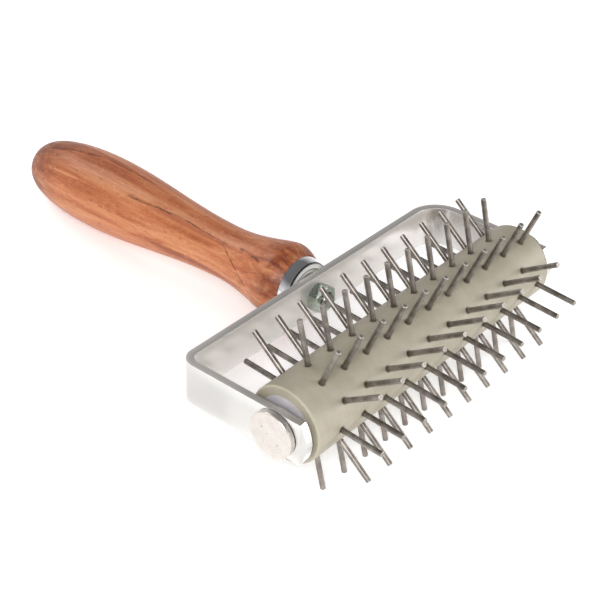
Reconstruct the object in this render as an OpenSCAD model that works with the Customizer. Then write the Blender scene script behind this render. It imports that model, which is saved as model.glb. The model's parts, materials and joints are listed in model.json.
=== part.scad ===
// Dough docker: a spiked roller that turns on an axle between the arms of a bent
// strip yoke, with a turned wooden handle screwed to the back of the yoke.
// It lies as it rests on a table, on its lowest pins and the handle's bulb.
// The axle runs along X, the handle points to +Y and the table is z = 0.

/* [Roller] */
// Length of the roller body
roller_len = 134; // [80:1:200]
// Diameter of the roller body
roller_d = 29; // [22:0.5:45]
// Chamfer round each rim of the roller
roller_chamfer = 0.6; // [0.2:0.1:1.2]
// Diameter of the axle's clearance bore through the roller
roller_bore_d = 9; // [8:0.5:11]

/* [End discs] */
// Diameter of each steel bearing disc
disc_d = 22; // [16:0.5:22]
// Thickness of each disc
disc_t = 2.5; // [1.5:0.1:5]
// Gap round a disc in its counterbore
disc_seat_gap = 0.03; // [0.02:0.01:0.1]

/* [Pins] */
// Diameter of a pin
pin_d = 2; // [1.5:0.1:2.6]
// Height of a pin above the roller
pin_reach = 16.85; // [8:0.05:22]
// Depth of a pin in the roller
pin_depth = 6.5; // [3:0.5:8]
// Distance between two pins of a row
pin_pitch = 11.5; // [8:0.1:13]
// Number of pins in a long row, and one less in a short row
pins_long = 11; // [4:1:11]
// Offset of the long rows along the axle
long_row_shift = 2.1; // [0:0.1:4]
// Angle of the first row from the handle's direction
row_start = 3.95; // [0:0.05:35]
// Bevel at a pin's tip
pin_bevel = 0.2; // [0.1:0.05:0.4]
// Radial gap round a pin in its hole
pin_seat_gap = 0.02; // [0.01:0.01:0.05]

/* [Yoke] */
// Width of the strip
strip_w = 16.4; // [12:0.1:24]
// Thickness of the strip
strip_t = 3; // [2:0.1:4]
// Distance from the axle to the back of the web
yoke_depth = 43.6; // [39:0.1:60]
// Gap between the left washer and the roller's left end
left_play = 0.8; // [0.3:0.1:2]
// Gap between the roller's right end and the right washer
right_play = 0.3; // [0.3:0.1:2]
// Outer radius of the left bend
left_bend_r = 6.5; // [4:0.5:12]
// Outer radius of the right bend
right_bend_r = 13; // [6:0.5:16]
// Radius of the arms' rounded ends about the axle
arm_end_r = 13.2; // [10:0.1:18]

/* [Axle] */
// Diameter of the axle
axle_d = 8; // [5:0.5:8]
// Radial running gap between the axle and the discs' bores
axle_run_gap = 0.05; // [0.02:0.01:0.1]
// Radial gap between the axle and the arms' holes
axle_seat_gap = 0.03; // [0.01:0.01:0.1]
// Diameter of the axle's head and of its end cap
head_d = 17.5; // [12:0.5:22]
// Thickness of the head and of the end cap
head_t = 2.5; // [1.5:0.1:4]
// Bevel round the head's face
head_bevel = 0.45; // [0.2:0.05:0.8]
// Diameter of each thrust washer
washer_d = 15; // [12:0.5:20]
// Thickness of each thrust washer
washer_t = 1; // [0.5:0.1:2]

/* [Handle] */
// Offset of the handle's axis from the roller's middle
handle_x = -2.7; // [-10:0.1:10]
// Length of the wooden handle behind the ferrule
handle_len = 140; // [100:1:170]
// Distance from the ferrule to the middle of the shoulder
shoulder_at = 6.5; // [4:0.5:12]
// Distance from the ferrule to the middle of the waist
waist_at = 34.5; // [20:0.5:50]
// Distance from the ferrule to the middle of the bulb
bulb_at = 102.5; // [70:0.5:110]
// Diameter of the handle's shoulder
shoulder_d = 29.6; // [24:0.2:34]
// Diameter of the handle's waist
waist_d = 21; // [16:0.2:24]
// Diameter of the handle's bulb
bulb_d = 30.6; // [26:0.2:36]
// Gap between the web and the ferrule's front edge
ferrule_gap = 1.3; // [0.8:0.1:3]
// Length of the ferrule along the handle
ferrule_len = 4.6; // [3:0.1:10]
// Radius of the ferrule at its front edge
ferrule_front_r = 11.2; // [9:0.1:14]
// Radius of the ferrule at the wood
ferrule_back_r = 12.1; // [10:0.1:14]
// Wall of the ferrule
ferrule_wall = 0.8; // [0.5:0.1:1.5]

/* [Stud and nut] */
// Diameter of the stud that holds the handle
stud_d = 6; // [4:0.5:8]
// Depth of the stud in the wood
stud_depth = 45; // [20:1:80]
// Length of the stud that shows past the nut
stud_tip = 1.6; // [0.5:0.1:3]
// Width of the nut across its flats
nut_af = 10; // [8:0.5:13]
// Thickness of the nut
nut_t = 5; // [3:0.1:8]
// Diameter of the shoulder washer between the web and the ferrule
stud_washer_d = 15; // [10:0.5:18]

/* [Hidden] */
$fn = 96;

row_count = 10;
row_step = 360 / row_count;
tip_r = roller_d / 2 + pin_reach;
pin_root_r = roller_d / 2 - pin_depth;
cut = 0.5;

// The arms' faces follow from the roller, its play and the washers.
left_in = -(roller_len / 2 + left_play + washer_t);
right_in = roller_len / 2 + right_play + washer_t;
left_out = left_in - strip_t;
right_out = right_in + strip_t;
web_front = yoke_depth - strip_t;

// The handle's stations from the ferrule's front edge to the butt.
ferrule_y = yoke_depth + ferrule_gap;
wood_y = ferrule_y + ferrule_len;
butt_y = wood_y + handle_len;
shoulder_y = wood_y + shoulder_at;
waist_y = wood_y + waist_at;
bulb_y = wood_y + bulb_at;
shoulder_r = shoulder_d / 2;
waist_r = waist_d / 2;
bulb_r = bulb_d / 2;
lip_r = ferrule_back_r + 0.4;

// The handle's outline is a smooth line of [radius, y] points through its turned diameters.
curve_steps = 10;
neck_power = 0.7;
butt_power = 0.6;
function blend(a, b, t) = a + (b - a) * (1 - cos(180 * t)) / 2;
shoulder_curve = [
    for (i = [0 : curve_steps]) let (t = i / curve_steps)
        [lip_r + (shoulder_r - lip_r) * sin(90 * t), wood_y + shoulder_at * t]
];
neck_curve = [
    for (i = [1 : curve_steps]) let (t = i / curve_steps)
        [blend(shoulder_r, waist_r, pow(t, neck_power)), shoulder_y + (waist_y - shoulder_y) * t]
];
belly_curve = [
    for (i = [1 : 2 * curve_steps]) let (t = i / (2 * curve_steps))
        [blend(waist_r, bulb_r, t), waist_y + (bulb_y - waist_y) * t]
];
butt_curve = [
    for (i = [1 : 2 * curve_steps]) let (t = 90 * i / (2 * curve_steps))
        [bulb_r * pow(max(0, cos(t)), butt_power), bulb_y + (butt_y - bulb_y) * sin(t)]
];
handle_curve = concat(shoulder_curve, neck_curve, belly_curve, butt_curve);

// The angle of a row of pins round the axle, from the handle's direction towards +Z.
function row_angle(row) = row_start + (row - 1) * row_step;

// The tool leans on its lowest pins and on the bulb, so its tilt follows from both.
pin_r = pin_d / 2;
function pin_drop(tilt) = max([
    for (row = [1 : row_count]) let (a = row_angle(row) - tilt - 270)
        tip_r * cos(a) + (pin_r - pin_bevel) * abs(sin(a))
]);
function handle_drop(tilt) = max([for (p = handle_curve) p[1] * sin(tilt) + p[0] * cos(tilt)]);
function lean(tilt, rounds) = rounds == 0 ? tilt
    : lean(tilt + (pin_drop(tilt) - handle_drop(tilt)) / bulb_y * 180 / PI, rounds - 1);
first_guess = 5;
lean_rounds = 12;
rest_tilt = lean(first_guess, lean_rounds);
rest_lift = pin_drop(rest_tilt);

// The origin lies on the table, under the middle of the tool's length and width.
back_y = max([for (p = handle_curve) p[1] * cos(rest_tilt) + p[0] * sin(rest_tilt)]);
front_y = min([
    for (row = [1 : row_count]) let (a = row_angle(row) - rest_tilt)
        tip_r * cos(a) - (pin_r - pin_bevel) * abs(sin(a))
]);
middle_x = (left_out + right_out) / 2;
middle_y = (front_y + back_y) / 2;

// Sets a piece on the table from the tool's own frame, whose origin is on the axle.
module placed() {
    translate([-middle_x, -middle_y, rest_lift]) rotate([-rest_tilt, 0, 0]) children();
}

// A cylinder along X from one x to another.
module bar_x(x0, x1, r) {
    translate([x0, 0, 0]) rotate([0, 90, 0]) cylinder(r = r, h = x1 - x0);
}

// A disc along X whose face at x1 has a bevelled rim.
module bevelled_disc_x(x0, x1, r, bevel) {
    dir = sign(x1 - x0);
    t = abs(x1 - x0);
    translate([x0, 0, 0]) rotate([0, dir * 90, 0])
        rotate_extrude()
            polygon([[0, 0], [r, 0], [r, t - bevel], [r - bevel, t], [0, t]]);
}

// A washer along X from one x to another.
module washer_x(x0, x1, r, bore_r) {
    difference() {
        bar_x(x0, x1, r);
        bar_x(x0 - cut, x1 + cut, bore_r);
    }
}

// A body turned about the handle's axis, from its [radius, y] outline.
module turned_y(outline) {
    translate([handle_x, 0, 0]) rotate([-90, 0, 0]) rotate_extrude() polygon(outline);
}

module handle() {
    spigot_r = ferrule_back_r - ferrule_wall - 0.3;
    color("peru") placed() difference() {
        turned_y(concat(
            [[0, ferrule_y + ferrule_wall], [spigot_r - 0.6, ferrule_y + ferrule_wall],
             [spigot_r, wood_y]],
            handle_curve));
        translate([handle_x, ferrule_y, 0]) rotate([-90, 0, 0])
            cylinder(r = stud_d / 2 + pin_seat_gap, h = wood_y + stud_depth - ferrule_y);
    }
}

// The ferrule is a shallow polished cup with a hole for the stud.
module ferrule() {
    color("silver") placed() turned_y([
        [stud_d / 2 + 0.1, ferrule_y], [ferrule_front_r - 1.6, ferrule_y],
        [ferrule_front_r - 1.1, ferrule_y + 0.35], [ferrule_front_r - 0.3, ferrule_y],
        [ferrule_front_r, ferrule_y + 0.25], [ferrule_back_r, wood_y],
        [ferrule_back_r - ferrule_wall, wood_y],
        [ferrule_front_r - ferrule_wall, ferrule_y + ferrule_wall],
        [stud_d / 2 + 0.1, ferrule_y + ferrule_wall]]);
}

module handle_stud() {
    y0 = web_front - nut_t - stud_tip;
    y1 = wood_y + stud_depth;
    r = stud_d / 2;
    color("gray") placed() turned_y([
        [0, y0], [r - 0.5, y0], [r, y0 + 0.5], [r, y1 - 0.8], [r - 0.8, y1], [0, y1]]);
}

module stud_washer() {
    color("silver") placed() turned_y([
        [stud_d / 2 + 0.1, yoke_depth], [stud_washer_d / 2, yoke_depth],
        [stud_washer_d / 2, ferrule_y], [stud_d / 2 + 0.1, ferrule_y]]);
}

// A hexagon nut with both faces' corners turned down.
module stud_nut() {
    corner_r = nut_af / 2 / cos(30);
    slope = 0.55;
    color("darkseagreen") placed() difference() {
        intersection() {
            translate([handle_x, web_front - nut_t, 0]) rotate([-90, 0, 0])
                cylinder(r = corner_r, h = nut_t, $fn = 6);
            turned_y([
                [0, web_front - nut_t], [nut_af / 2 - 0.1, web_front - nut_t],
                [corner_r + 0.1, web_front - nut_t + slope],
                [corner_r + 0.1, web_front - slope],
                [nut_af / 2 - 0.1, web_front], [0, web_front]]);
        }
        translate([handle_x, web_front - nut_t - cut, 0]) rotate([-90, 0, 0])
            cylinder(r = stud_d / 2 + 0.1, h = nut_t + 2 * cut);
    }
}

// The strip's bent outline, seen along its width.
module strip_outline() {
    back = yoke_depth;
    translate([left_out, -arm_end_r]) square([strip_t, back - left_bend_r + arm_end_r]);
    translate([right_in, -arm_end_r]) square([strip_t, back - right_bend_r + arm_end_r]);
    translate([left_out + left_bend_r, web_front])
        square([right_out - right_bend_r - left_out - left_bend_r, strip_t]);
    translate([left_out + left_bend_r, back - left_bend_r]) bend(left_bend_r, 90);
    translate([right_out - right_bend_r, back - right_bend_r]) bend(right_bend_r, 0);
}

// A quarter ring of the strip's thickness in the quadrant that starts at an angle.
module bend(r, start) {
    rotate(start) intersection() {
        difference() {
            circle(r = r);
            circle(r = r - strip_t);
        }
        square([r, r]);
    }
}

module yoke() {
    color("gainsboro") placed() difference() {
        intersection() {
            translate([0, 0, -strip_w / 2]) linear_extrude(strip_w) strip_outline();
            union() {
                bar_x(left_out - cut, right_out + cut, arm_end_r);
                translate([left_out - cut, 0, -strip_w])
                    cube([right_out - left_out + 2 * cut, yoke_depth + cut, 2 * strip_w]);
            }
        }
        bar_x(left_out - cut, right_out + cut, axle_d / 2 + axle_seat_gap);
        translate([handle_x, web_front - cut, 0]) rotate([-90, 0, 0])
            cylinder(r = stud_d / 2 + 0.1, h = strip_t + 2 * cut);
    }
}

// The axle and its left head are one piece, riveted over at the right end.
module axle_pin() {
    color("lightgray") placed() union() {
        bar_x(left_out, right_out + head_t - head_bevel, axle_d / 2);
        bevelled_disc_x(left_out, left_out - head_t, head_d / 2, head_bevel);
    }
}

module axle_end_cap() {
    color("lightgray") placed() difference() {
        bevelled_disc_x(right_out, right_out + head_t, head_d / 2, head_bevel);
        bar_x(right_out - cut, right_out + head_t - head_bevel, axle_d / 2 + axle_seat_gap);
    }
}

module left_thrust_washer() {
    color("silver") placed()
        washer_x(left_in, left_in + washer_t, washer_d / 2, axle_d / 2 + axle_seat_gap);
}

module right_thrust_washer() {
    color("silver") placed()
        washer_x(right_in - washer_t, right_in, washer_d / 2, axle_d / 2 + axle_seat_gap);
}

// The pins of a row, spaced along the axle.
function is_long(row) = row % 2 == 0;
function row_pins(row) = is_long(row) ? pins_long : pins_long - 1;
function pin_x(row, i) =
    (is_long(row) ? long_row_shift : 0) + (i - (row_pins(row) - 1) / 2) * pin_pitch;

// Puts a child that points to +Z at each pin of a row, pointing outwards.
module at_pins(row) {
    for (i = [0 : row_pins(row) - 1])
        rotate([row_angle(row) - 90, 0, 0]) translate([pin_x(row, i), 0, 0]) children();
}

module roller() {
    r = roller_d / 2;
    half = roller_len / 2;
    seat_r = disc_d / 2 + disc_seat_gap;
    color("wheat") placed() difference() {
        translate([-half, 0, 0]) rotate([0, 90, 0]) rotate_extrude() polygon([
            [roller_bore_d / 2, disc_t], [seat_r, disc_t], [seat_r, 0],
            [r - roller_chamfer, 0], [r, roller_chamfer],
            [r, roller_len - roller_chamfer], [r - roller_chamfer, roller_len],
            [seat_r, roller_len], [seat_r, roller_len - disc_t],
            [roller_bore_d / 2, roller_len - disc_t]]);
        for (row = [1 : row_count]) at_pins(row)
            translate([0, 0, pin_root_r]) cylinder(r = pin_d / 2 + pin_seat_gap, h = pin_depth + 1);
    }
}

module end_disc(x0) {
    color("silver") placed()
        washer_x(x0, x0 + disc_t, disc_d / 2, axle_d / 2 + axle_run_gap);
}

module left_end_disc() { end_disc(-roller_len / 2); }
module right_end_disc() { end_disc(roller_len / 2 - disc_t); }

// One row of square-cut pins with lightly bevelled tips.
module pin_row(row) {
    color("slategray") placed() at_pins(row) rotate_extrude() polygon([
        [0, pin_root_r], [pin_d / 2, pin_root_r], [pin_d / 2, tip_r - pin_bevel],
        [pin_d / 2 - pin_bevel, tip_r], [0, tip_r]]);
}

handle();
ferrule();
handle_stud();
stud_washer();
stud_nut();
yoke();
axle_pin();
axle_end_cap();
left_thrust_washer();
right_thrust_washer();
roller();
left_end_disc();
right_end_disc();
pin_row(1);  // pin_row_01
pin_row(2);  // pin_row_02
pin_row(3);  // pin_row_03
pin_row(4);  // pin_row_04
pin_row(5);  // pin_row_05
pin_row(6);  // pin_row_06
pin_row(7);  // pin_row_07
pin_row(8);  // pin_row_08
pin_row(9);  // pin_row_09
pin_row(10);  // pin_row_10
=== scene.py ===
"""A dough docker lying on a pale table: a spiked roller, a bent steel yoke and a turned wooden handle.

Six CAD nodes are replaced by finer meshes of the same outline, and the others keep their own mesh.
Every finish is procedural and is placed in the tool's own frame.
"""

import json
import math

import bmesh
import bpy
from mathutils import Matrix, Vector


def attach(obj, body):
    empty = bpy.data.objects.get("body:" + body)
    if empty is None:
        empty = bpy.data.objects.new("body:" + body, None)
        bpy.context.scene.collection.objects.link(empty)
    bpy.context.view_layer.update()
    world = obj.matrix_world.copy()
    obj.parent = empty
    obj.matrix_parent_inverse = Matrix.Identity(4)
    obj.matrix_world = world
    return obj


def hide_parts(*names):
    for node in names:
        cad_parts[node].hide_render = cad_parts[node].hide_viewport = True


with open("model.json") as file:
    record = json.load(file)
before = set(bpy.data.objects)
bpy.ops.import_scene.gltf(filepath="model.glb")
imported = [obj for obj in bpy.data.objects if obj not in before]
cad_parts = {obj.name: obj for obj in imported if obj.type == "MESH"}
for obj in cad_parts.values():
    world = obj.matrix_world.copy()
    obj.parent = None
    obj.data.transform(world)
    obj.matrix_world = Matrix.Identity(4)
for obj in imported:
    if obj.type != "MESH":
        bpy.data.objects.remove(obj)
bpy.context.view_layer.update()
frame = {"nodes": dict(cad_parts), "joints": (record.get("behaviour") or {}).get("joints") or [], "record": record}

MM = 0.001

# The tool's own frame: its origin is on the axle, X runs along it and Y along the handle.
# The roller's joint stands at JOINT_X in it.
JOINT_X = -0.25 * MM
AXLE = Vector(frame["joints"][0]["pos_m"]) - Vector((JOINT_X, 0, 0))
GRIP = next(m for m in frame["record"]["mounts"] if m["name"] == "hand_grip")
TILT = math.atan2(-GRIP["axis"][2], GRIP["axis"][1])
TOOL = Matrix.Translation(AXLE) @ Matrix.Rotation(-TILT, 4, "X")

# The roller and its pins in metres, as the finishes use them. Short and long rows of pins take
# turns round the roller. The short rows stand evenly about the origin and the long ones shifted.
PIN_PITCH = 11.5 * MM
LONG_SHIFT = 2.1 * MM
LAST_PIN = 60 * MM
ROW_START = math.radians(3.95)
ROW_STEP = math.radians(36)
PIN_R = 1.0 * MM
TIP_R = 31.35 * MM
ROLLER_R = 14.5 * MM
ROLLER_ENDS = [point[0] - AXLE.x for point in frame["nodes"]["roller"].bound_box]
ROLLER_MIDDLE = (max(ROLLER_ENDS) + min(ROLLER_ENDS)) / 2
ROLLER_HALF = (max(ROLLER_ENDS) - min(ROLLER_ENDS)) / 2

# Sizes of the six meshes, in millimetres.
HANDLE_X = -2.7
WEB_FRONT = 40.6
WEB_BACK = 43.6
LEFT_OUT = -71.8
RIGHT_OUT = 71.3
STRIP_T = 3.0
STRIP_HALF = 8.2
EDGE_EASE = 0.22
LEFT_BEND = 6.5
RIGHT_BEND = 13.0
ARM_END_R = 13.2
HEAD_R = 8.75
HEAD_T = 2.5
HEAD_ROUND = 0.4
SHANK_R = 4.0
CAP_COVER = 0.45
FERRULE_Y = 44.9
WOOD_Y = 49.5
FERRULE_FRONT_R = 11.2
FERRULE_BACK_R = 12.1
FERRULE_WALL = 0.8
FERRULE_BORE_GAP = 0.1
NUT_AF = 10.0
NUT_T = 5.0
STUD_R = 3.0
STUD_OUT = 1.6
STUD_END = 96.0
THREAD_PITCH = 1.0
THREAD_LEN = 14.0
THREAD_DEPTH = 0.32
HANDLE_LEN = 140.0
WOOD_LIP = 0.4

# The handle's outline between its ends, as (radius, distance behind the ferrule).
SHOULDER = (14.8, 6.5)
WAIST = (10.5, 34.5)
BULB = (15.3, 102.5)

# The ferrule's front rim, as (distance in from the front radius, distance behind the front face).
FERRULE_RIM = ((2.2, 0.0), (1.1, 0.3), (0.35, 0.02), (0.15, 0.0), (0.04, 0.06), (0.0, 0.2))

# Small dents in the axle head's face, as (y, z) in millimetres from the axle.
HEAD_DENTS = ((3.6, 2.2), (1.2, 0.3), (-3.0, -2.4))

# Dark marks in the wood. Each has its two ends and its half width in millimetres. An end is
# its distance from the ferrule in millimetres, and degrees up from the handle's left side.
WOOD_MARKS = (
    ((33, 55), (12, -9), 0.30),
    ((80, 51), (52, 61), 0.40),
    ((54, 62), (28, 53), 0.30),
    ((130, 71), (102, 92), 0.35),
    ((104, 91), (72, 96), 0.25),
    ((24, 60), (10, 48), 0.45),
)

# The photograph's camera in the tool's frame: place, right, up and lens.
CAM_AT = Vector((-360.53, -248.55, 312.46)) * MM
CAM_RIGHT = Vector((0.64895, -0.76056, 0.02031))
CAM_UP = Vector((0.41864, 0.37925, 0.82517))
CAM_LENS = 91.304


class Finish:
    """A material and short ways to add nodes to it. Places are in the tool's own frame, in metres."""

    def __init__(self, name):
        self.mat = bpy.data.materials.new(name)
        self.mat.use_nodes = True
        self.tree = self.mat.node_tree
        self.shader = self.tree.nodes["Principled BSDF"]
        coords = self.add("ShaderNodeTexCoord")
        self.at = self.from_tool(coords.outputs["Object"], AXLE)
        self.normal = self.from_tool(coords.outputs["Normal"], (0, 0, 0))

    def from_tool(self, vector, origin):
        """A vector of the shared frame, as it is seen from the tool's own frame."""
        node = self.add("ShaderNodeMapping")
        node.vector_type = "TEXTURE"
        node.inputs["Location"].default_value = origin
        node.inputs["Rotation"].default_value = (-TILT, 0, 0)
        self.link(vector, node.inputs["Vector"])
        return node.outputs["Vector"]

    def add(self, kind):
        return self.tree.nodes.new(kind)

    def link(self, a, b):
        self.tree.links.new(a, b)

    def feed(self, socket, value):
        """Links the socket where the value is another node's output, and sets it where it's plain."""
        if hasattr(value, "links"):
            self.link(value, socket)
        else:
            socket.default_value = value

    def noise(self, scale, detail, rough, warp=0.0, at=None):
        node = self.add("ShaderNodeTexNoise")
        node.inputs["Scale"].default_value = scale
        node.inputs["Detail"].default_value = detail
        node.inputs["Roughness"].default_value = rough
        node.inputs["Distortion"].default_value = warp
        self.link(at or self.at, node.inputs["Vector"])
        return node.outputs["Fac"]

    def streaks(self, scale, detail, rough, warp=0.0, offset=(0, 0, 0)):
        """Noise with its own scale along X, Y and Z. It runs long where the scale is small."""
        node = self.add("ShaderNodeMapping")
        node.inputs["Scale"].default_value = scale
        node.inputs["Location"].default_value = offset
        self.link(self.at, node.inputs["Vector"])
        return self.noise(1.0, detail, rough, warp, node.outputs["Vector"])

    def math(self, kind, a, b=0.0):
        node = self.add("ShaderNodeMath")
        node.operation = kind
        for socket, value in zip(node.inputs, (a, b)):
            self.feed(socket, value)
        return node.outputs[0]

    def hypot(self, a, b):
        """The distance that two parts at right angles make up."""
        squares = [self.math("POWER", part, 2.0) for part in (a, b)]
        return self.math("SQRT", self.math("ADD", *squares))

    def span(self, value, low, high, to_low=0.0, to_high=1.0):
        """Goes smoothly from to_low to to_high while the value goes from low to high."""
        node = self.add("ShaderNodeMapRange")
        node.interpolation_type = "SMOOTHSTEP"
        self.link(value, node.inputs["Value"])
        for name, number in zip(("From Min", "From Max", "To Min", "To Max"), (low, high, to_low, to_high)):
            node.inputs[name].default_value = number
        return node.outputs["Result"]

    def ramp(self, value, stops):
        node = self.add("ShaderNodeValToRGB")
        while len(node.color_ramp.elements) < len(stops):
            node.color_ramp.elements.new(0.5)
        for element, (place, colour) in zip(node.color_ramp.elements, stops):
            element.position = place
            element.color = (*colour, 1)
        self.link(value, node.inputs["Fac"])
        return node.outputs["Color"]

    def mix(self, factor, a, b):
        """Colour a where the factor is 0 and colour b where it's 1."""
        node = self.add("ShaderNodeMix")
        node.data_type = "RGBA"
        self.feed(node.inputs["Factor"], factor)
        self.feed(node.inputs["A"], a if hasattr(a, "links") else (*a, 1))
        self.feed(node.inputs["B"], b if hasattr(b, "links") else (*b, 1))
        return node.outputs["Result"]

    def axes(self, vector=None):
        """The three parts of a vector, or of the place where it's None."""
        node = self.add("ShaderNodeSeparateXYZ")
        self.link(vector or self.at, node.inputs["Vector"])
        return node.outputs

    def radius(self):
        """Distance from the axle's middle line."""
        parts = self.axes()
        return self.hypot(parts["Y"], parts["Z"])

    def bump(self, height, depth, strength):
        node = self.add("ShaderNodeBump")
        node.inputs["Distance"].default_value = depth
        node.inputs["Strength"].default_value = strength
        self.link(height, node.inputs["Height"])
        self.link(node.outputs["Normal"], self.shader.inputs["Normal"])

    def set(self, **values):
        """Feeds the shader's sockets. An underscore stands for the space in a socket's name."""
        for name, value in values.items():
            self.feed(self.shader.inputs[name.replace("_", " ")], value)


def srgb(r, g, b):
    """A colour from 0 to 255 on the screen, as the linear values that the shader takes."""
    return tuple((v / 255 / 12.92 if v <= 10 else ((v / 255 + 0.055) / 1.055) ** 2.4) for v in (r, g, b))


def wood_mark(f, along, turn, wander, mark):
    """A thin dark line in the grain between two places on the handle, faded at its ends."""
    start, end, half_width = mark
    share = f.math("DIVIDE", f.math("SUBTRACT", along, start[0] * MM), (end[0] - start[0]) * MM)
    slope, level = math.radians(end[1] - start[1]), math.radians(start[1])
    middle = f.math("ADD", f.math("MULTIPLY", share, slope), level)
    off = f.math("ABSOLUTE", f.math("ADD", f.math("SUBTRACT", turn, middle), wander))
    line = f.span(off, 0.2 * half_width / BULB[0], 2.4 * half_width / BULB[0], 1.0, 0.0)
    ends = f.math("MULTIPLY", f.span(share, -0.04, 0.12), f.span(share, 0.85, 1.04, 1.0, 0.0))
    return f.math("MULTIPLY", line, ends)


def lacquered_wood():
    """Warm tan wood: lengthwise grain, short pores, dark marks, red-brown patches at both ends, and red-brown
    streaks on the upper side that are partly painted shade.
    """
    f = Finish("lacquered_wood")
    x, y, z = f.axes()
    along = f.math("SUBTRACT", y, WOOD_Y * MM)
    turn = f.math("ARCTAN2", z, f.math("SUBTRACT", HANDLE_X * MM, x))
    grain = f.streaks((260, 14, 260), 8, 0.62, 0.6)
    fine = f.streaks((1500, 60, 1500), 6, 0.7)
    broad = f.streaks((70, 9, 70), 3, 0.5, offset=(0.3, 0.1, 0))
    blotch = f.streaks((330, 130, 330), 5, 0.65, 0.5, offset=(0.2, 0.5, 0))
    pores = f.streaks((1250, 330, 1250), 3, 0.6, offset=(0.7, 0.2, 0))
    glints = f.streaks((1100, 420, 1100), 3, 0.6, offset=(0.1, 0.9, 0))

    base = f.ramp(grain, [
        (0.30, srgb(146, 76, 44)),
        (0.46, srgb(184, 107, 67)),
        (0.60, srgb(204, 135, 92)),
        (0.76, srgb(220, 161, 119)),
    ])
    # Red-brown streaks in the grain, kept to the handle's upper side: partly grain, partly painted shade on the
    # top.
    streaks_and_top_shade = f.math("MULTIPLY", f.span(z, -2 * MM, 13 * MM), f.span(broad, 0.44, 0.62))
    base = f.mix(f.math("MULTIPLY", streaks_and_top_shade, 0.2), base, srgb(128, 56, 28))

    shoulder = f.span(along, 2 * MM, 17 * MM, 1.0, 0.0)
    butt = f.span(along, 112 * MM, 136 * MM)
    patches = f.math("MULTIPLY", f.math("MAXIMUM", shoulder, butt), f.span(blotch, 0.36, 0.58, 0.25, 1.0))
    base = f.mix(f.math("MULTIPLY", patches, 0.72), base, srgb(98, 38, 22))
    base = f.mix(f.span(fine, 0.58, 0.72, 0.0, 0.42), base, srgb(112, 52, 28))
    base = f.mix(f.span(pores, 0.58, 0.70, 0.0, 0.5), base, srgb(112, 54, 30))
    base = f.mix(f.span(glints, 0.56, 0.70, 0.0, 0.2), base, srgb(240, 184, 140))

    sway = f.math("SUBTRACT", f.streaks((120, 90, 120), 4, 0.6), 0.5)
    wander = f.math("MULTIPLY", sway, 0.16)
    dark = 0.0
    for mark in WOOD_MARKS:
        dark = f.math("MAXIMUM", wood_mark(f, along, turn, wander, mark), dark)
    base = f.mix(f.math("MULTIPLY", dark, f.span(blotch, 0.36, 0.56, 0.15, 0.85)), base, srgb(92, 42, 24))

    f.set(
        Base_Color=base,
        Roughness=f.span(fine, 0.3, 0.7, 0.40, 0.52),
        Coat_Weight=0.12,
        Coat_Roughness=0.2,
        Specular_IOR_Level=0.3,
    )
    f.bump(f.math("SUBTRACT", fine, f.math("MULTIPLY", pores, 0.5)), 0.06 * MM, 0.6)
    return f.mat


def ferrule_finish():
    """Mirror polish on the outside; in front a satin face with a painted dark reflection round the rim, a painted
    highlight on the bevel and a line of painted shade at the groove's edge.
    """
    f = Finish("polished_ferrule")
    x, y, z = f.axes()
    radius = f.hypot(f.math("SUBTRACT", x, HANDLE_X * MM), z)
    rim = FERRULE_FRONT_R * MM
    front = f.span(f.math("MULTIPLY", f.axes(f.normal)["Y"], -1.0), 0.80, 0.97)
    lines = f.streaks((60, 2600, 60), 3, 0.6)
    polish = f.mix(f.span(lines, 0.35, 0.7), srgb(222, 222, 226), srgb(238, 238, 240))
    # Painted highlight: the front is coloured brighter from the bevel out to the rim.
    bevel = f.span(radius, rim - 2.3 * MM, rim - 1.9 * MM)
    face = f.mix(bevel, srgb(222, 220, 214), srgb(248, 248, 246))
    # Painted shade: a dark line where the flat face meets the groove.
    from_groove = f.math("ABSOLUTE", f.math("SUBTRACT", radius, rim - 2.4 * MM))
    groove = f.math("MULTIPLY", f.span(from_groove, 0.1 * MM, 0.28 * MM, 1.0, 0.0), front)
    # Painted reflection: a dark line round the rim's foremost outer edge.
    outermost = f.span(radius, rim - 0.6 * MM, rim - 0.3 * MM)
    foremost = f.span(y, (FERRULE_Y + 0.45) * MM, (FERRULE_Y + 0.65) * MM, 1.0, 0.0)
    rim_reflection = f.math("MULTIPLY", outermost, foremost)
    base = f.mix(front, polish, face)
    base = f.mix(f.math("MULTIPLY", groove, 0.85), base, srgb(52, 48, 44))
    base = f.mix(f.math("MULTIPLY", rim_reflection, 0.9), base, srgb(38, 35, 33))
    f.set(
        Base_Color=base,
        Metallic=f.span(front, 0.0, 1.0, 1.0, 0.3),
        Roughness=f.span(front, 0.0, 1.0, 0.06, 0.42),
    )
    f.bump(lines, 0.004 * MM, 0.5)
    return f.mat


def head_finish():
    """A clouded pale face with a few small dents, and a painted shadow where the head meets the arm."""
    f = Finish("axle_head_steel")
    x, y, z = f.axes()
    cloud = f.noise(300, 4, 0.6)
    ragged = f.math("MULTIPLY", cloud, 0.3 * MM)
    dents = 0.0
    for dent_y, dent_z in HEAD_DENTS:
        far = f.hypot(f.math("SUBTRACT", y, dent_y * MM), f.math("SUBTRACT", z, dent_z * MM))
        dents = f.math("MAXIMUM", f.span(f.math("ADD", far, ragged), 0.2 * MM, 0.55 * MM, 1.0, 0.0), dents)
    base = f.mix(f.span(cloud, 0.3, 0.7), srgb(214, 207, 200), srgb(224, 217, 210))
    base = f.mix(f.math("MULTIPLY", dents, 0.8), base, srgb(104, 96, 88))
    # Painted shadow: the head's side within about half a millimetre of the arm turns near black.
    arm_shadow = f.span(x, (LEFT_OUT - 0.55) * MM, (LEFT_OUT - 0.3) * MM)
    f.set(
        Base_Color=f.mix(f.math("MULTIPLY", arm_shadow, 0.95), base, srgb(22, 20, 19)),
        Metallic=0.85,
        Roughness=f.span(cloud, 0.3, 0.7, 0.24, 0.34),
    )
    f.bump(f.math("SUBTRACT", f.math("MULTIPLY", cloud, 0.06), dents), 0.12 * MM, 0.6)
    return f.mat


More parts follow.
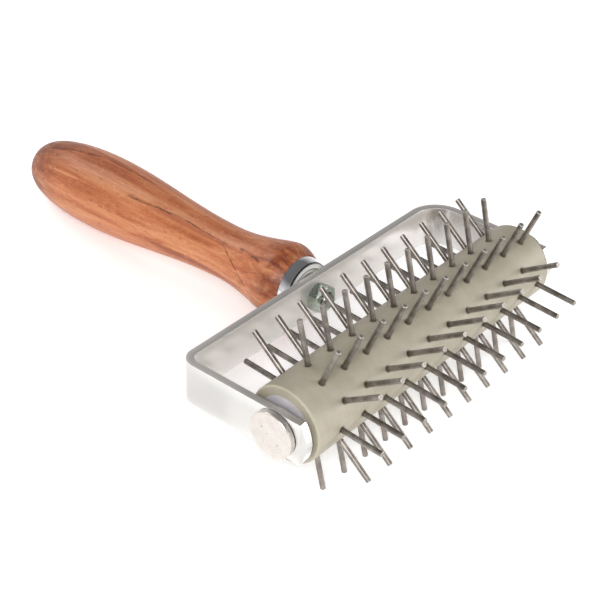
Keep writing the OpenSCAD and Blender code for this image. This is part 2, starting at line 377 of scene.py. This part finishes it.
def metal(name, light, dark, rough, grain, scratch=0.01 * MM):
    """Plain metal in clouds of two tones, with darker lines that follow the grain's scales."""
    f = Finish(name)
    tone = f.noise(60, 4, 0.6, 0.4)
    lines = f.streaks(grain, 3, 0.6)
    colour = f.mix(f.span(tone, 0.35, 0.68), dark, light)
    colour = f.mix(f.span(lines, 0.58, 0.72, 0.0, 0.35), colour, dark)
    f.set(Base_Color=colour, Metallic=1.0, Roughness=f.span(lines, 0.3, 0.7, *rough))
    f.bump(lines, scratch, 0.7)
    return f.mat


def yoke_steel():
    """Satin faces and brushed cut edges, with a painted highlight along the eased edges between them, the web's
    faces painted lighter than the arms' and the arms' ends painted darker.
    """
    f = Finish("yoke_steel")
    normal = f.axes(f.normal)
    up = f.math("ABSOLUTE", normal["Z"])
    edge = f.span(up, 0.75, 0.95)
    # Painted highlight: a near-white line along the eased edges between faces and cut edges.
    arris_highlight = f.math("MULTIPLY", f.span(up, 0.10, 0.35), f.span(up, 0.80, 0.95, 1.0, 0.0))
    brushed = f.streaks((22, 22, 1300), 3, 0.5)
    cloud = f.noise(30, 2, 0.5)
    sideways = f.span(f.math("ABSOLUTE", normal["X"]), 0.3, 0.9)
    # Painted shade: near their rounded ends the arms take the darker side colour.
    arm_end = f.span(f.axes()["Y"], -6 * MM, -2 * MM, 1.0, 0.0)
    arm = f.math("MAXIMUM", sideways, arm_end)
    # Painted light: the web and the arms' faces are a lit and a shaded copy of one steel, the web lighter.
    web = f.mix(f.span(cloud, 0.4, 0.65), srgb(240, 235, 231), srgb(250, 246, 242))
    side = f.mix(f.span(cloud, 0.4, 0.65), srgb(208, 206, 203), srgb(219, 217, 214))
    cut_edge = f.mix(f.span(brushed, 0.35, 0.65), srgb(188, 184, 180), srgb(212, 208, 204))
    colour = f.mix(edge, f.mix(arm, web, side), cut_edge)
    f.set(
        Base_Color=f.mix(f.math("MULTIPLY", arris_highlight, 0.8), colour, srgb(252, 250, 247)),
        Metallic=f.math("MULTIPLY", f.span(arm, 0.0, 1.0, 0.68, 0.95), f.span(arris_highlight, 0.0, 1.0, 1.0, 0.4)),
        Roughness=f.math("ADD", f.span(edge, 0.0, 1.0, 0.24, 0.42), f.span(brushed, 0.35, 0.7, 0.0, 0.03)),
    )
    f.bump(brushed, 0.002 * MM, 0.5)
    return f.mat


def from_pins(f, radius):
    """How far a point at this radius from the axle lies from the axis of the nearest pin."""
    x, y, z = f.axes()
    angle = f.math("SUBTRACT", f.math("ARCTAN2", z, y), ROW_START)
    nearest = 1.0
    for turn, shift in ((0.0, PIN_PITCH / 2), (ROW_STEP, LONG_SHIFT)):
        across = f.math("PINGPONG", f.math("SUBTRACT", angle, turn), ROW_STEP)
        along = f.math("PINGPONG", f.math("SUBTRACT", x, shift), PIN_PITCH / 2)
        far = f.hypot(f.math("MULTIPLY", across, radius), along)
        nearest = f.math("MINIMUM", far, nearest)
    return nearest


def roller_plastic():
    """Cream plastic with turning marks, a ring of painted shade where each pin enters, and a painted highlight on
    the rim at each end.
    """
    f = Finish("roller_plastic")
    x = f.axes()["X"]
    # Painted shade: a dark ring round the foot of each pin.
    ring = f.span(from_pins(f, ROLLER_R), 1.05 * PIN_R, 1.7 * PIN_R, 1.0, 0.0)
    reach = f.math("ABSOLUTE", f.math("SUBTRACT", x, LONG_SHIFT / 2))
    ring = f.math("MULTIPLY", ring, f.math("LESS_THAN", reach, LAST_PIN))
    turned = f.streaks((2600, 20, 20), 3, 0.6)
    cloud = f.noise(90, 4, 0.55)
    base = f.mix(f.span(cloud, 0.35, 0.7), srgb(158, 150, 132), srgb(170, 162, 145))
    base = f.mix(f.span(turned, 0.45, 0.75, 0.0, 0.3), base, srgb(148, 140, 116))
    base = f.mix(f.math("MULTIPLY", ring, 0.75), base, srgb(78, 71, 57))
    # Painted highlight: a paler band round the rim where the side meets each end.
    from_middle = f.math("ABSOLUTE", f.math("SUBTRACT", x, ROLLER_MIDDLE))
    by_end = f.span(from_middle, ROLLER_HALF - 0.9 * MM, ROLLER_HALF - 0.5 * MM)
    by_side = f.span(f.radius(), ROLLER_R - 0.7 * MM, ROLLER_R - 0.4 * MM)
    rim = f.math("MULTIPLY", by_end, by_side)
    base = f.mix(f.math("MULTIPLY", rim, 0.4), base, srgb(192, 188, 160))
    f.set(Base_Color=base, Roughness=f.span(cloud, 0.3, 0.7, 0.42, 0.55))
    f.bump(turned, 0.02 * MM, 0.5)
    return f.mat


def disc_steel():
    """Pale satin steel, finely mottled on its face."""
    f = Finish("disc_steel")
    tone = f.noise(90, 4, 0.6)
    lines = f.streaks((60, 700, 700), 3, 0.6)
    colour = f.mix(f.span(tone, 0.35, 0.68), srgb(214, 210, 214), srgb(230, 226, 230))
    f.set(Base_Color=colour, Metallic=0.5, Roughness=f.span(lines, 0.3, 0.7, 0.35, 0.5))
    f.bump(lines, 0.01 * MM, 0.6)
    return f.mat


def pin_wire():
    """Drawn wire with painted shade near the roller, and square-cut tips with a painted highlight towards the rim.
    """
    f = Finish("pin_wire")
    radius = f.radius()
    tip = f.span(radius, TIP_R - 0.5 * MM, TIP_R - 0.1 * MM)
    # Painted shade: the wire darkens over its first two millimetres out of the roller.
    foot_shade = f.span(radius, ROLLER_R, ROLLER_R + 2 * MM, 1.0, 0.0)
    stain = f.noise(260, 4, 0.6)
    base = f.mix(f.span(stain, 0.35, 0.7), srgb(126, 119, 113), srgb(164, 157, 150))
    base = f.mix(f.math("MULTIPLY", foot_shade, 0.5), base, srgb(76, 69, 58))
    # Painted highlight: each tip's cut face brightens towards its rim.
    tip_rim_highlight = f.span(from_pins(f, TIP_R), 0.2 * PIN_R, 0.9 * PIN_R)
    cut = f.mix(tip_rim_highlight, srgb(148, 142, 136), srgb(178, 173, 166))
    wire_rough = f.span(stain, 0.3, 0.7, 0.34, 0.46)
    f.set(
        Base_Color=f.mix(tip, base, cut),
        Metallic=1.0,
        Roughness=f.math("ADD", wire_rough, f.math("MULTIPLY", tip, 0.2)),
    )
    f.bump(stain, 0.01 * MM, 0.5)
    return f.mat


def table_finish():
    """A pale matt table that glows a little, like a lit backdrop."""
    f = Finish("pale_table")
    f.set(
        Base_Color=f.mix(f.noise(6, 3, 0.5), (0.90, 0.90, 0.90), (0.93, 0.93, 0.93)),
        Roughness=0.6,
        Emission_Color=(1, 1, 1, 1),
        Emission_Strength=0.35,
    )
    return f.mat


def piece(name, points, faces, body, material, node, smooth_angle):
    """A mesh from points in the tool's frame, in millimetres, that stands for a CAD node.

    Edges where the surface turns by more than smooth_angle, in degrees, look sharp.
    """
    merge_within = 1e-7
    mesh = bpy.data.meshes.new(name)
    mesh.from_pydata([TOOL @ (Vector(p) * MM) for p in points], [], faces)
    mesh.validate()
    bm = bmesh.new()
    bm.from_mesh(mesh)
    bmesh.ops.remove_doubles(bm, verts=bm.verts, dist=merge_within)
    bmesh.ops.recalc_face_normals(bm, faces=bm.faces)
    bm.to_mesh(mesh)
    bm.free()
    for face in mesh.polygons:
        face.use_smooth = True
    mesh.set_sharp_from_angle(angle=math.radians(smooth_angle))
    obj = bpy.data.objects.new(name, mesh)
    bpy.context.scene.collection.objects.link(obj)
    mesh.materials.append(material)
    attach(obj, body)
    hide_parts(node)


def angles(sides):
    return [2 * math.pi * i / sides for i in range(sides)]


def about_handle(r, y, a):
    """The point at radius r and angle a round the handle's middle line."""
    return (HANDLE_X + r * math.cos(a), y, r * math.sin(a))


def about_axle(r, x, a):
    """The point at radius r and angle a round the axle's middle line."""
    return (x, r * math.cos(a), r * math.sin(a))


def skin(rings, sides, capped=False):
    """Faces that join each ring of points to the next, and close both ends where capped."""
    faces = []
    for k in range(rings - 1):
        for i in range(sides):
            j = (i + 1) % sides
            faces.append((k * sides + i, k * sides + j, (k + 1) * sides + j, (k + 1) * sides + i))
    if capped:
        faces.append(tuple(range(sides)))
        faces.append(tuple(range((rings - 1) * sides, rings * sides)))
    return faces


def lathe(rings, sides=128, spot=about_handle):
    """Points and faces turned from (radius, place on the middle line) rings; radius 0 closes an end."""
    points = [spot(r, place, a) for r, place in rings for a in angles(sides)]
    return points, skin(len(rings), sides)


def ease(a, b, t):
    """A smooth way from a to b while t goes from 0 to 1, level at both ends."""
    return a + (b - a) * (1 - math.cos(math.pi * t)) / 2


def handle_rings():
    """The handle's outline as (radius, y) rings: lip, shoulder, waist, bulb and rounded butt."""
    steps = 40
    waist_power, butt_power = 0.7, 0.6
    tuck, lip_flat, lip_edge, lip_rise, butt_short = 0.01, 0.6, 0.25, 0.05, 0.002
    lip = FERRULE_BACK_R + WOOD_LIP
    rings = [(0, WOOD_Y - tuck), (lip - lip_flat, WOOD_Y - tuck), (lip - lip_edge, WOOD_Y + lip_rise)]
    for i in range(steps + 1):
        t = i / steps
        rings.append((lip + (SHOULDER[0] - lip) * math.sin(math.pi / 2 * t), WOOD_Y + SHOULDER[1] * t))
    for i in range(1, steps + 1):
        t = i / steps
        y = WOOD_Y + SHOULDER[1] + (WAIST[1] - SHOULDER[1]) * t
        rings.append((ease(SHOULDER[0], WAIST[0], t**waist_power), y))
    for i in range(1, 2 * steps + 1):
        t = i / (2 * steps)
        rings.append((ease(WAIST[0], BULB[0], t), WOOD_Y + WAIST[1] + (BULB[1] - WAIST[1]) * t))
    for i in range(1, 2 * steps + 1):
        t = math.pi / 2 * i / (2 * steps)
        y = WOOD_Y + BULB[1] + (HANDLE_LEN - BULB[1]) * math.sin(t) - butt_short
        rings.append((BULB[0] * max(0.0, math.cos(t)) ** butt_power, y))
    return rings


def turned_handle():
    points, faces = lathe(handle_rings(), 160)
    piece("turned_handle", points, faces, "frame", lacquered_wood(), "handle", 60)


def ferrule_shell():
    """A thin shell that widens towards the wood, with a turned rim in front and the stud's bore."""
    steps, flare_power = 8, 0.9
    front, back = FERRULE_FRONT_R, FERRULE_BACK_R
    bore = STUD_R + FERRULE_BORE_GAP
    inner_y = FERRULE_Y + FERRULE_WALL
    rim_depth = FERRULE_RIM[-1][1]
    rings = [(bore, inner_y), (bore, FERRULE_Y)]
    rings += [(front - inward, FERRULE_Y + behind) for inward, behind in FERRULE_RIM]
    for i in range(1, steps + 1):
        t = i / steps
        r = front + (back - front) * math.sin(math.pi / 2 * t) ** flare_power
        rings.append((r, FERRULE_Y + rim_depth + (WOOD_Y - FERRULE_Y - rim_depth) * t))
    rings += [(back - FERRULE_WALL, WOOD_Y), (front - FERRULE_WALL, inner_y), (bore, inner_y)]
    points, faces = lathe(rings)
    piece("ferrule_shell", points, faces, "frame", ferrule_finish(), "ferrule", 40)


def axle_with_head():
    """The axle from its seat in the end cap to its flat round head, whose outer edge is rounded."""
    inner_edge, round_steps, face_rings = 0.15, 5, (5.0, 2.0, 0)
    seat, face = RIGHT_OUT + HEAD_T - CAP_COVER, LEFT_OUT - HEAD_T
    rings = [(0, seat), (SHANK_R, seat), (SHANK_R, LEFT_OUT)]
    rings += [(HEAD_R - inner_edge, LEFT_OUT), (HEAD_R, LEFT_OUT - inner_edge)]
    for i in range(round_steps + 1):
        t = math.pi / 2 * i / round_steps
        r = HEAD_R - HEAD_ROUND + HEAD_ROUND * math.cos(t)
        rings.append((r, face + (HEAD_ROUND - HEAD_ROUND * math.sin(t))))
    rings += [(r, face) for r in face_rings]
    points, faces = lathe(rings, spot=about_axle)
    piece("axle_with_head", points, faces, "frame", head_finish(), "axle_pin", 25)


def hex_nut():
    """A hexagon nut with its corners turned down on both faces and a countersunk bore."""
    turns = angles(144)
    front, back = WEB_FRONT - NUT_T, WEB_FRONT
    bore, sink_r, sink = STUD_R + 0.05, STUD_R + 0.45, 0.5
    chamfer_r, slope = NUT_AF / 2 - 0.12, 0.55
    ease_in, ease_up, ease_down = 0.06, 0.02, 0.06

    def section(a):
        """The nut's section in the direction a, as (radius, y), from the bore's front all the way round."""
        flat = NUT_AF / 2 / math.cos((a + math.pi / 6) % (math.pi / 3) - math.pi / 6)
        turned = slope * (flat - chamfer_r)
        return [
            (bore, front + sink), (sink_r, front), (chamfer_r, front),
            (flat - ease_in, front + turned - ease_up), (flat, front + turned + ease_down),
            (flat, back - turned - ease_down), (flat - ease_in, back - turned + ease_up),
            (chamfer_r, back), (bore, back), (bore, front + sink),
        ]

    rings = list(zip(*(section(a) for a in turns)))
    points = [about_handle(*spot, a) for ring in rings for spot, a in zip(ring, turns)]
    faces = skin(len(rings), len(turns))
    light, dark = srgb(214, 222, 214), srgb(150, 160, 150)
    zinc = metal("zinc_nut", light, dark, (0.16, 0.30), (420, 420, 420), 0.04 * MM)
    piece("hex_nut", points, faces, "frame", zinc, "stud_nut", 28)


def threaded_stud():
    """A stud whose thread is a real helical groove where it can be seen, and plain inside the wood."""
    turns, steps_per_pitch = angles(48), 8
    lead_len, lead_cut, plain_cut = 0.6, 0.45, 0.3
    tip_y = WEB_FRONT - NUT_T - STUD_OUT
    steps = int(THREAD_LEN / THREAD_PITCH * steps_per_pitch)
    points = []
    for k in range(steps + 1):
        y = tip_y + THREAD_LEN * k / steps
        lead = min(1.0, (y - tip_y) / lead_len)
        for i, a in enumerate(turns):
            phase = ((y - tip_y) / THREAD_PITCH - i / len(turns)) % 1.0
            groove = THREAD_DEPTH * (1 - abs(2 * phase - 1))
            points.append(about_handle(STUD_R - lead_cut * (1 - lead) - groove, y, a))
    plain_ends = (tip_y + THREAD_LEN, STUD_END)
    points += [about_handle(STUD_R - plain_cut, y, a) for y in plain_ends for a in turns]
    faces = skin(steps + 1 + len(plain_ends), len(turns), capped=True)
    light, dark = srgb(178, 180, 174), srgb(116, 116, 110)
    steel = metal("stud_steel", light, dark, (0.3, 0.45), (300, 300, 300), 0.06 * MM)
    piece("threaded_stud", points, faces, "frame", steel, "handle_stud", 30)


def strip_path():
    """The strip's middle line as (x, y, outward normal), from the left arm's end round to the right's."""
    half = STRIP_T / 2
    end_steps, bend_steps = 16, 20

    def bend(x, r, first):
        """A quarter turn of outer radius r about a middle at x, clockwise from the angle first."""
        spots = []
        for i in range(bend_steps + 1):
            a = first - math.pi / 2 * i / bend_steps
            n = (math.cos(a), math.sin(a))
            spots.append((x + (r - half) * n[0], WEB_BACK - r + (r - half) * n[1], n))
        return spots

    # The y values of an arm's rounded end, from its tip to where the strip has its full width.
    full = math.asin(math.sqrt(ARM_END_R**2 - STRIP_HALF**2) / ARM_END_R) / (math.pi / 2)
    shares = [1 - (1 - full) * i / end_steps for i in range(end_steps + 1)]
    arm_end = [-ARM_END_R * math.sin(math.pi / 2 * share) for share in shares]

    path = [(LEFT_OUT + half, y, (-1, 0)) for y in arm_end]
    path += bend(LEFT_OUT + LEFT_BEND, LEFT_BEND, math.pi)
    path += bend(RIGHT_OUT - RIGHT_BEND, RIGHT_BEND, math.pi / 2)
    path += [(RIGHT_OUT - half, y, (1, 0)) for y in reversed(arm_end)]
    return path


def strip_section(y):
    """The strip's section at y as (outward, up) points, narrower in an arm's rounded end."""
    least_width, corner_share = 0.3, 0.3
    half, wide = STRIP_T / 2, STRIP_HALF
    if y < 0:
        wide = min(wide, math.sqrt(max(0.0, ARM_END_R**2 - y**2)))
    wide = max(wide, least_width)
    b = min(EDGE_EASE, wide / 2)
    corner = [(half - b, wide), (half - b * corner_share, wide - b * corner_share), (half, wide - b)]
    outer = corner + [(u, -v) for u, v in reversed(corner)]
    return outer + [(-u, v) for u, v in reversed(outer)]


def bent_strip():
    """The yoke's strip with eased edges and arms rounded about the axle."""
    path = strip_path()
    sections = [strip_section(y) for x, y, n in path]
    points = []
    for (x, y, n), section in zip(path, sections):
        points += [(x + u * n[0], y + u * n[1], v) for u, v in section]
    faces = skin(len(path), len(sections[0]), capped=True)
    piece("bent_strip", points, faces, "frame", yoke_steel(), "yoke", 30)


def dress(nodes, material):
    """Gives CAD nodes this material. Their meshes stay as they are."""
    for name in nodes:
        mesh = frame["nodes"][name].data
        mesh.materials.clear()
        mesh.materials.append(material)


def floor():
    """A wide table top, a hair below the tool so that the two don't touch."""
    side, drop = 4.0, -0.2 * MM
    corners = [(-side, -side, drop), (side, -side, drop), (side, side, drop), (-side, side, drop)]
    mesh = bpy.data.meshes.new("table_top")
    mesh.from_pydata(corners, [], [(0, 1, 2, 3)])
    top = bpy.data.objects.new("table_top", mesh)
    bpy.context.scene.collection.objects.link(top)
    mesh.materials.append(table_finish())


def area_light(name, at, size, power):
    """A rectangular light that looks at the frame's origin."""
    data = bpy.data.lights.new(name, "AREA")
    data.shape = "RECTANGLE"
    data.size, data.size_y = size
    data.energy = power
    lamp = bpy.data.objects.new(name, data)
    lamp.location = at
    lamp.rotation_mode = "QUATERNION"
    lamp.rotation_quaternion = (-Vector(at)).to_track_quat("-Z", "Y")
    bpy.context.scene.collection.objects.link(lamp)


def studio_world():
    """A soft room, dim overhead and bright round the horizon, as in a light tent."""
    world = bpy.data.worlds.new("soft_studio")
    world.use_nodes = True
    tree = world.node_tree
    coords = tree.nodes.new("ShaderNodeTexCoord")
    split = tree.nodes.new("ShaderNodeSeparateXYZ")
    fade = tree.nodes.new("ShaderNodeValToRGB")
    tree.links.new(coords.outputs["Generated"], split.inputs["Vector"])
    tree.links.new(split.outputs["Z"], fade.inputs["Fac"])
    tree.links.new(fade.outputs["Color"], tree.nodes["Background"].inputs["Color"])
    horizon, overhead = fade.color_ramp.elements
    horizon.position = 0.15
    horizon.color = (0.95, 0.945, 0.94, 1)
    overhead.position = 0.65
    overhead.color = (0.20, 0.20, 0.205, 1)
    tree.nodes["Background"].inputs["Strength"].default_value = 0.85
    bpy.context.scene.world = world


def lights():
    """Three soft lights and the studio's room, shown without a film curve."""
    area_light("key_light", (-0.75, -0.45, 0.75), (0.5, 0.5), 8)
    area_light("fill_light", (0.55, -0.75, 0.35), (0.7, 0.4), 5)
    area_light("back_light", (-0.1, 0.8, 0.7), (0.5, 0.4), 3)
    studio_world()
    bpy.context.scene.view_settings.view_transform = "Standard"


def camera():
    """The camera that shows the tool as the photograph does."""
    data = bpy.data.cameras.new("photo_camera")
    data.lens = CAM_LENS
    data.sensor_width = 36
    data.clip_start, data.clip_end = 0.01, 20
    right = CAM_RIGHT.normalized()
    back = right.cross(CAM_UP).normalized()
    up = back.cross(right)
    pose = Matrix((right, up, back)).transposed().to_4x4()
    pose.translation = CAM_AT
    cam = bpy.data.objects.new("photo_camera", data)
    cam.matrix_world = TOOL @ pose
    bpy.context.scene.collection.objects.link(cam)
    bpy.context.scene.camera = cam


camera()
lights()
floor()
turned_handle()
ferrule_shell()
threaded_stud()
hex_nut()
bent_strip()
axle_with_head()

washer_steel = metal("washer_steel", srgb(170, 170, 170), srgb(130, 130, 132), (0.3, 0.4), (40, 900, 40))
axle_steel = metal("axle_steel", srgb(214, 210, 202), srgb(176, 172, 164), (0.16, 0.28), (60, 900, 900))
dress(["stud_washer"], washer_steel)
dress(["axle_end_cap"], axle_steel)
dress(["roller"], roller_plastic())
dress(["left_end_disc", "right_end_disc"], disc_steel())
dress([name for name in frame["nodes"] if name.startswith("pin_row")], pin_wire())
